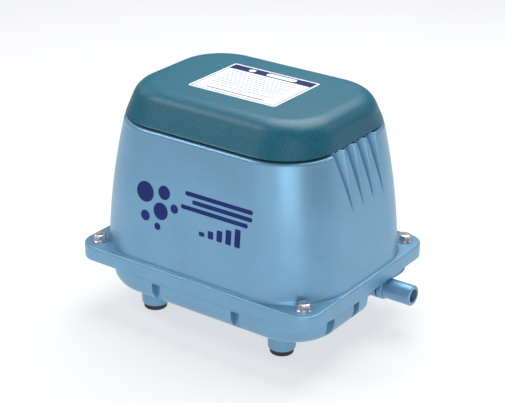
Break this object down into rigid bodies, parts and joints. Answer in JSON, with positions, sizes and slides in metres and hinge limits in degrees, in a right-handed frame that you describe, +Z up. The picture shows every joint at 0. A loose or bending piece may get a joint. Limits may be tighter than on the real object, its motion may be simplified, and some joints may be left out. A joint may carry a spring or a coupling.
{
  "type": "air pump",
  "caption": "Linear-piston air pump for ponds: rounded painted casing on a flanged air tank, filter lid with label, side intake scoops, rubber feet, side outlet pipe.",
  "frame": {"origin": "middle of the whole footprint, outlet pipe included, on the floor under the rubber feet", "axes": "+X towards the outlet pipe and along the piston, -Y is the front, +Z is up"},
  "size_m": [0.28, 0.2, 0.2213],
  "materials": {
    "housing_paint": "die-cast, coated in satin blue-grey enamel",
    "lid_plastic": "fine moulded texture",
    "label_film": "printed film",
    "filter_foam": "open-cell foam",
    "black_rubber": "moulded",
    "plated_steel": "zinc plated",
    "cast_aluminium": "as cast, machined faces",
    "core_steel": "stacked varnished sheet",
    "copper_wire": "enamelled wire",
    "bobbin_plastic": "moulded",
    "magnet_nickel": "nickel plated",
    "valve_rubber": "thin flexible sheet",
    "piston_resin": "low-friction resin",
    "brass_fitting": "turned",
    "gasket_fibre": "cut sheet",
    "terminal_plastic": "moulded",
    "lead_insulation": "extruded"
  },
  "bodies": {
    "casing": {"upper_housing": "housing_paint", "lower_housing": "housing_paint", "housing_gasket": "gasket_fibre", "tank_gasket": "gasket_fibre", "tank_plate": "cast_aluminium", "tank_plate_screws": "plated_steel", "housing_bolts": "plated_steel", "bolt_washers": "plated_steel", "rubber_feet": "black_rubber", "foot_screws": "plated_steel", "outlet_pipe": "housing_paint", "outlet_seal": "black_rubber", "cord_grommet": "black_rubber", "motor_frame": "cast_aluminium", "core_laminations": "core_steel", "core_bolts": "plated_steel", "bobbins": "bobbin_plastic", "coils": "copper_wire", "thermal_protectors": "terminal_plastic", "cylinder": "cast_aluminium", "cylinder_screws": "plated_steel", "head_gasket": "gasket_fibre", "valve_plate": "cast_aluminium", "discharge_valve_clamp": "plated_steel", "discharge_valve_screw": "plated_steel", "head_cover": "cast_aluminium", "head_screws": "plated_steel", "tank_inlet": "brass_fitting", "discharge_hose": "black_rubber", "hose_clamps": "plated_steel", "rear_case": "cast_aluminium", "rear_case_screws": "plated_steel", "return_spring": "plated_steel", "isolators": "black_rubber", "isolator_nuts": "plated_steel", "terminal_block": "terminal_plastic", "terminal_screws": "plated_steel", "coil_leads": "lead_insulation", "earth_screw": "plated_steel"},
    "lid": {"filter_cover": "lid_plastic", "cover_label": "label_film"},
    "filter": {"filter_element": "filter_foam"},
    "piston_unit": {"piston": "cast_aluminium", "piston_ring": "piston_resin", "piston_shaft": "plated_steel", "armature_core": "core_steel", "armature_magnets": "magnet_nickel", "shaft_nuts": "plated_steel", "guide_piston": "piston_resin", "suction_valve_clamp": "plated_steel", "suction_valve_screw": "plated_steel"},
    "suction_flap": {"suction_valve": "valve_rubber"},
    "discharge_flap": {"discharge_valve": "valve_rubber"}
  },
  "joints": [
    {"name": "lid_lift", "type": "slide", "parent": "casing", "child": "lid", "axis": [0, 0, 1], "range_m": [0, 0.12]},
    {"name": "filter_lift", "type": "slide", "parent": "casing", "child": "filter", "axis": [0, 0, 1], "range_m": [0, 0.048]},
    {"name": "piston_slide", "type": "slide", "parent": "casing", "child": "piston_unit", "axis": [1, 0, 0], "range_m": [-0.004, 0.004], "stiffness_N_per_m": 12000, "deforming": ["return_spring"]},
    {"name": "suction_flap_hinge", "type": "hinge", "parent": "piston_unit", "child": "suction_flap", "pos_m": [0.04005, 0, 0.1155], "axis": [0, 1, 0], "range_deg": [0, 8], "stiffness_Nm_per_rad": 0.0002},
    {"name": "discharge_flap_hinge", "type": "hinge", "parent": "casing", "child": "discharge_flap", "pos_m": [0.05335, 0, 0.1155], "axis": [0, 1, 0], "range_deg": [0, 8], "stiffness_Nm_per_rad": 0.0002}
  ],
  "couplings": [
    {"joint": "filter_lift", "follows": "lid_lift", "ratio": 0.4}
  ]
}
